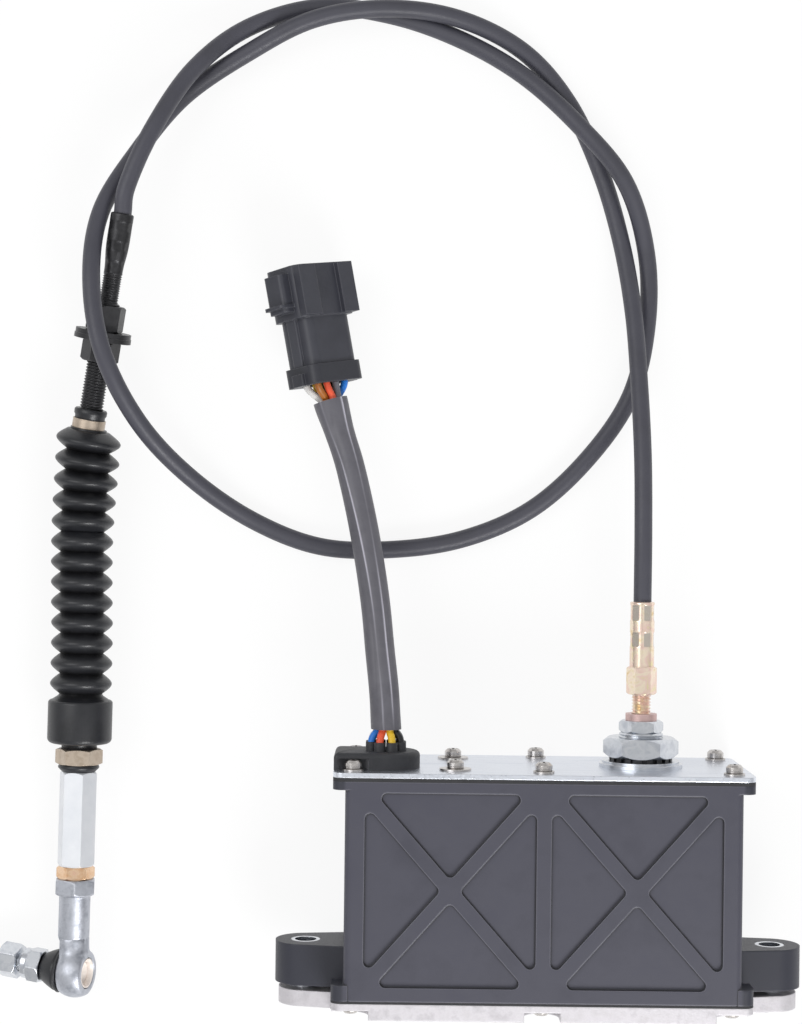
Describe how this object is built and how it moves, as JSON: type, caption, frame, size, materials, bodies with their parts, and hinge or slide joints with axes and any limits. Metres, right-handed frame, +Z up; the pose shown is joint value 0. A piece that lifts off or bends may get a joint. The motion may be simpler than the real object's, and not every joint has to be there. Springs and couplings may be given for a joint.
{
  "type": "engine governor actuator",
  "caption": "Motor-driven engine throttle actuator: ribbed black box with bolt-on ears, a looped push-pull cable ending in a bellows-sealed ball rod end, and a short harness with a plug.",
  "frame": {"origin": "centre of the box's back face, which lies on the floor", "axes": "+X to the right across the box, +Y from the base plate towards the cable gland, +Z up from the back face to the ribbed front"},
  "size_m": [0.3423, 0.4296, 0.068],
  "materials": {
    "box_plastic": "moulded satin black",
    "gasket_rubber": "matt",
    "zinc_plate": "bright zinc",
    "cast_alloy": "as cast",
    "zinc_steel": "bright zinc",
    "black_steel": "black oxide",
    "gold_chromate": "iridescent chromate",
    "rose_ring": "satin",
    "sheath_vinyl": "satin",
    "boot_rubber": "satin",
    "sleeve_vinyl": "soft satin",
    "plug_plastic": "satin",
    "clamp_tan": "satin",
    "race_bronze": "satin",
    "sensor_plastic": "satin",
    "steel_bright": "ground",
    "wire_blue": "satin",
    "wire_orange": "satin",
    "wire_green": "satin",
    "wire_yellow": "satin",
    "wire_white": "satin",
    "wire_brown": "satin",
    "wire_grey": "satin",
    "wire_black": "satin"
  },
  "bodies": {
    "actuator": {"housing": "box_plastic", "top_gasket": "gasket_rubber", "base_gasket": "gasket_rubber", "top_plate": "zinc_plate", "base_plate": "cast_alloy", "top_screws": "zinc_steel", "bracket_screws": "zinc_steel", "screw_washers": "zinc_steel", "base_screws": "zinc_steel", "ear_bushes": "zinc_steel", "gland_bush": "zinc_steel", "gland_washer": "zinc_steel", "gland_lock_washer": "black_steel", "gland_nut": "zinc_steel", "fitting_lock_nut": "zinc_steel", "seal_ring": "rose_ring", "cable_end_fitting": "gold_chromate", "cable_sheath": "sheath_vinyl", "threaded_hub": "black_steel", "bulkhead_nuts": "black_steel", "bulkhead_washers": "black_steel", "boot_upper_clamp": "clamp_tan", "wire_grommet": "gasket_rubber", "harness_sleeve": "sleeve_vinyl", "connector_body": "plug_plastic", "connector_cover": "plug_plastic", "connector_terminals": "steel_bright", "motor_can": "steel_bright", "gearbox_case": "cast_alloy", "motor_bracket": "zinc_steel", "gearbox_screws": "zinc_steel", "sensor_bracket": "zinc_steel", "position_sensor": "sensor_plastic", "guide_rods": "steel_bright", "wire_blue": "wire_blue", "wire_orange": "wire_orange", "wire_green": "wire_green", "wire_yellow": "wire_yellow", "wire_white": "wire_white", "wire_brown": "wire_brown", "wire_grey": "wire_grey", "wire_black": "wire_black"},
    "output": {"output_shaft": "steel_bright", "drive_pinion": "race_bronze"},
    "slider": {"drive_rack": "steel_bright", "cable_core": "steel_bright"},
    "swivel": {"support_tube": "steel_bright", "bellows_boot": "boot_rubber"},
    "rod": {"push_rod": "steel_bright", "boot_lower_clamp": "clamp_tan", "hex_coupling": "zinc_steel", "coupling_nut": "gold_chromate", "rod_end": "zinc_steel", "ball_race": "race_bronze"},
    "stud_seat": {"stud_boot": "boot_rubber"},
    "stud": {"ball_stud": "zinc_steel", "stud_washer": "zinc_steel", "stud_nut": "zinc_steel"}
  },
  "joints": [
    {"name": "pinion_spin", "type": "hinge", "parent": "actuator", "child": "output", "pos_m": [0.02063, 0, 0.038], "axis": [0, 0, 1], "range_deg": [-63.66, 63.66]},
    {"name": "rack_slide", "type": "slide", "parent": "actuator", "child": "slider", "axis": [0, 1, 0], "range_m": [-0.015, 0.015]},
    {"name": "swivel_tilt", "type": "hinge", "parent": "actuator", "child": "swivel", "pos_m": [-0.192, 0.188, 0.0165], "axis": [0, 0, 1], "range_deg": [-21, 4]},
    {"name": "rod_slide", "type": "slide", "parent": "swivel", "child": "rod", "axis": [-0.0175, -0.9998, 0], "range_m": [-0.015, 0.015], "deforming": ["bellows_boot"]},
    {"name": "stud_tilt", "type": "hinge", "parent": "rod", "child": "stud_seat", "pos_m": [-0.19606, -0.04476, 0.0165], "axis": [0.2756, -0.0048, -0.9613], "range_deg": [-18, 7], "deforming": ["stud_boot"]},
    {"name": "stud_spin", "type": "hinge", "parent": "stud_seat", "child": "stud", "pos_m": [-0.19606, -0.04476, 0.0165], "axis": [-0.9551, 0.1088, -0.2756], "continuous": true}
  ],
  "couplings": [
    {"joint": "pinion_spin", "follows": "rack_slide", "rad_per_m": 74.074},
    {"joint": "rod_slide", "follows": "rack_slide", "ratio": 1}
  ]
}
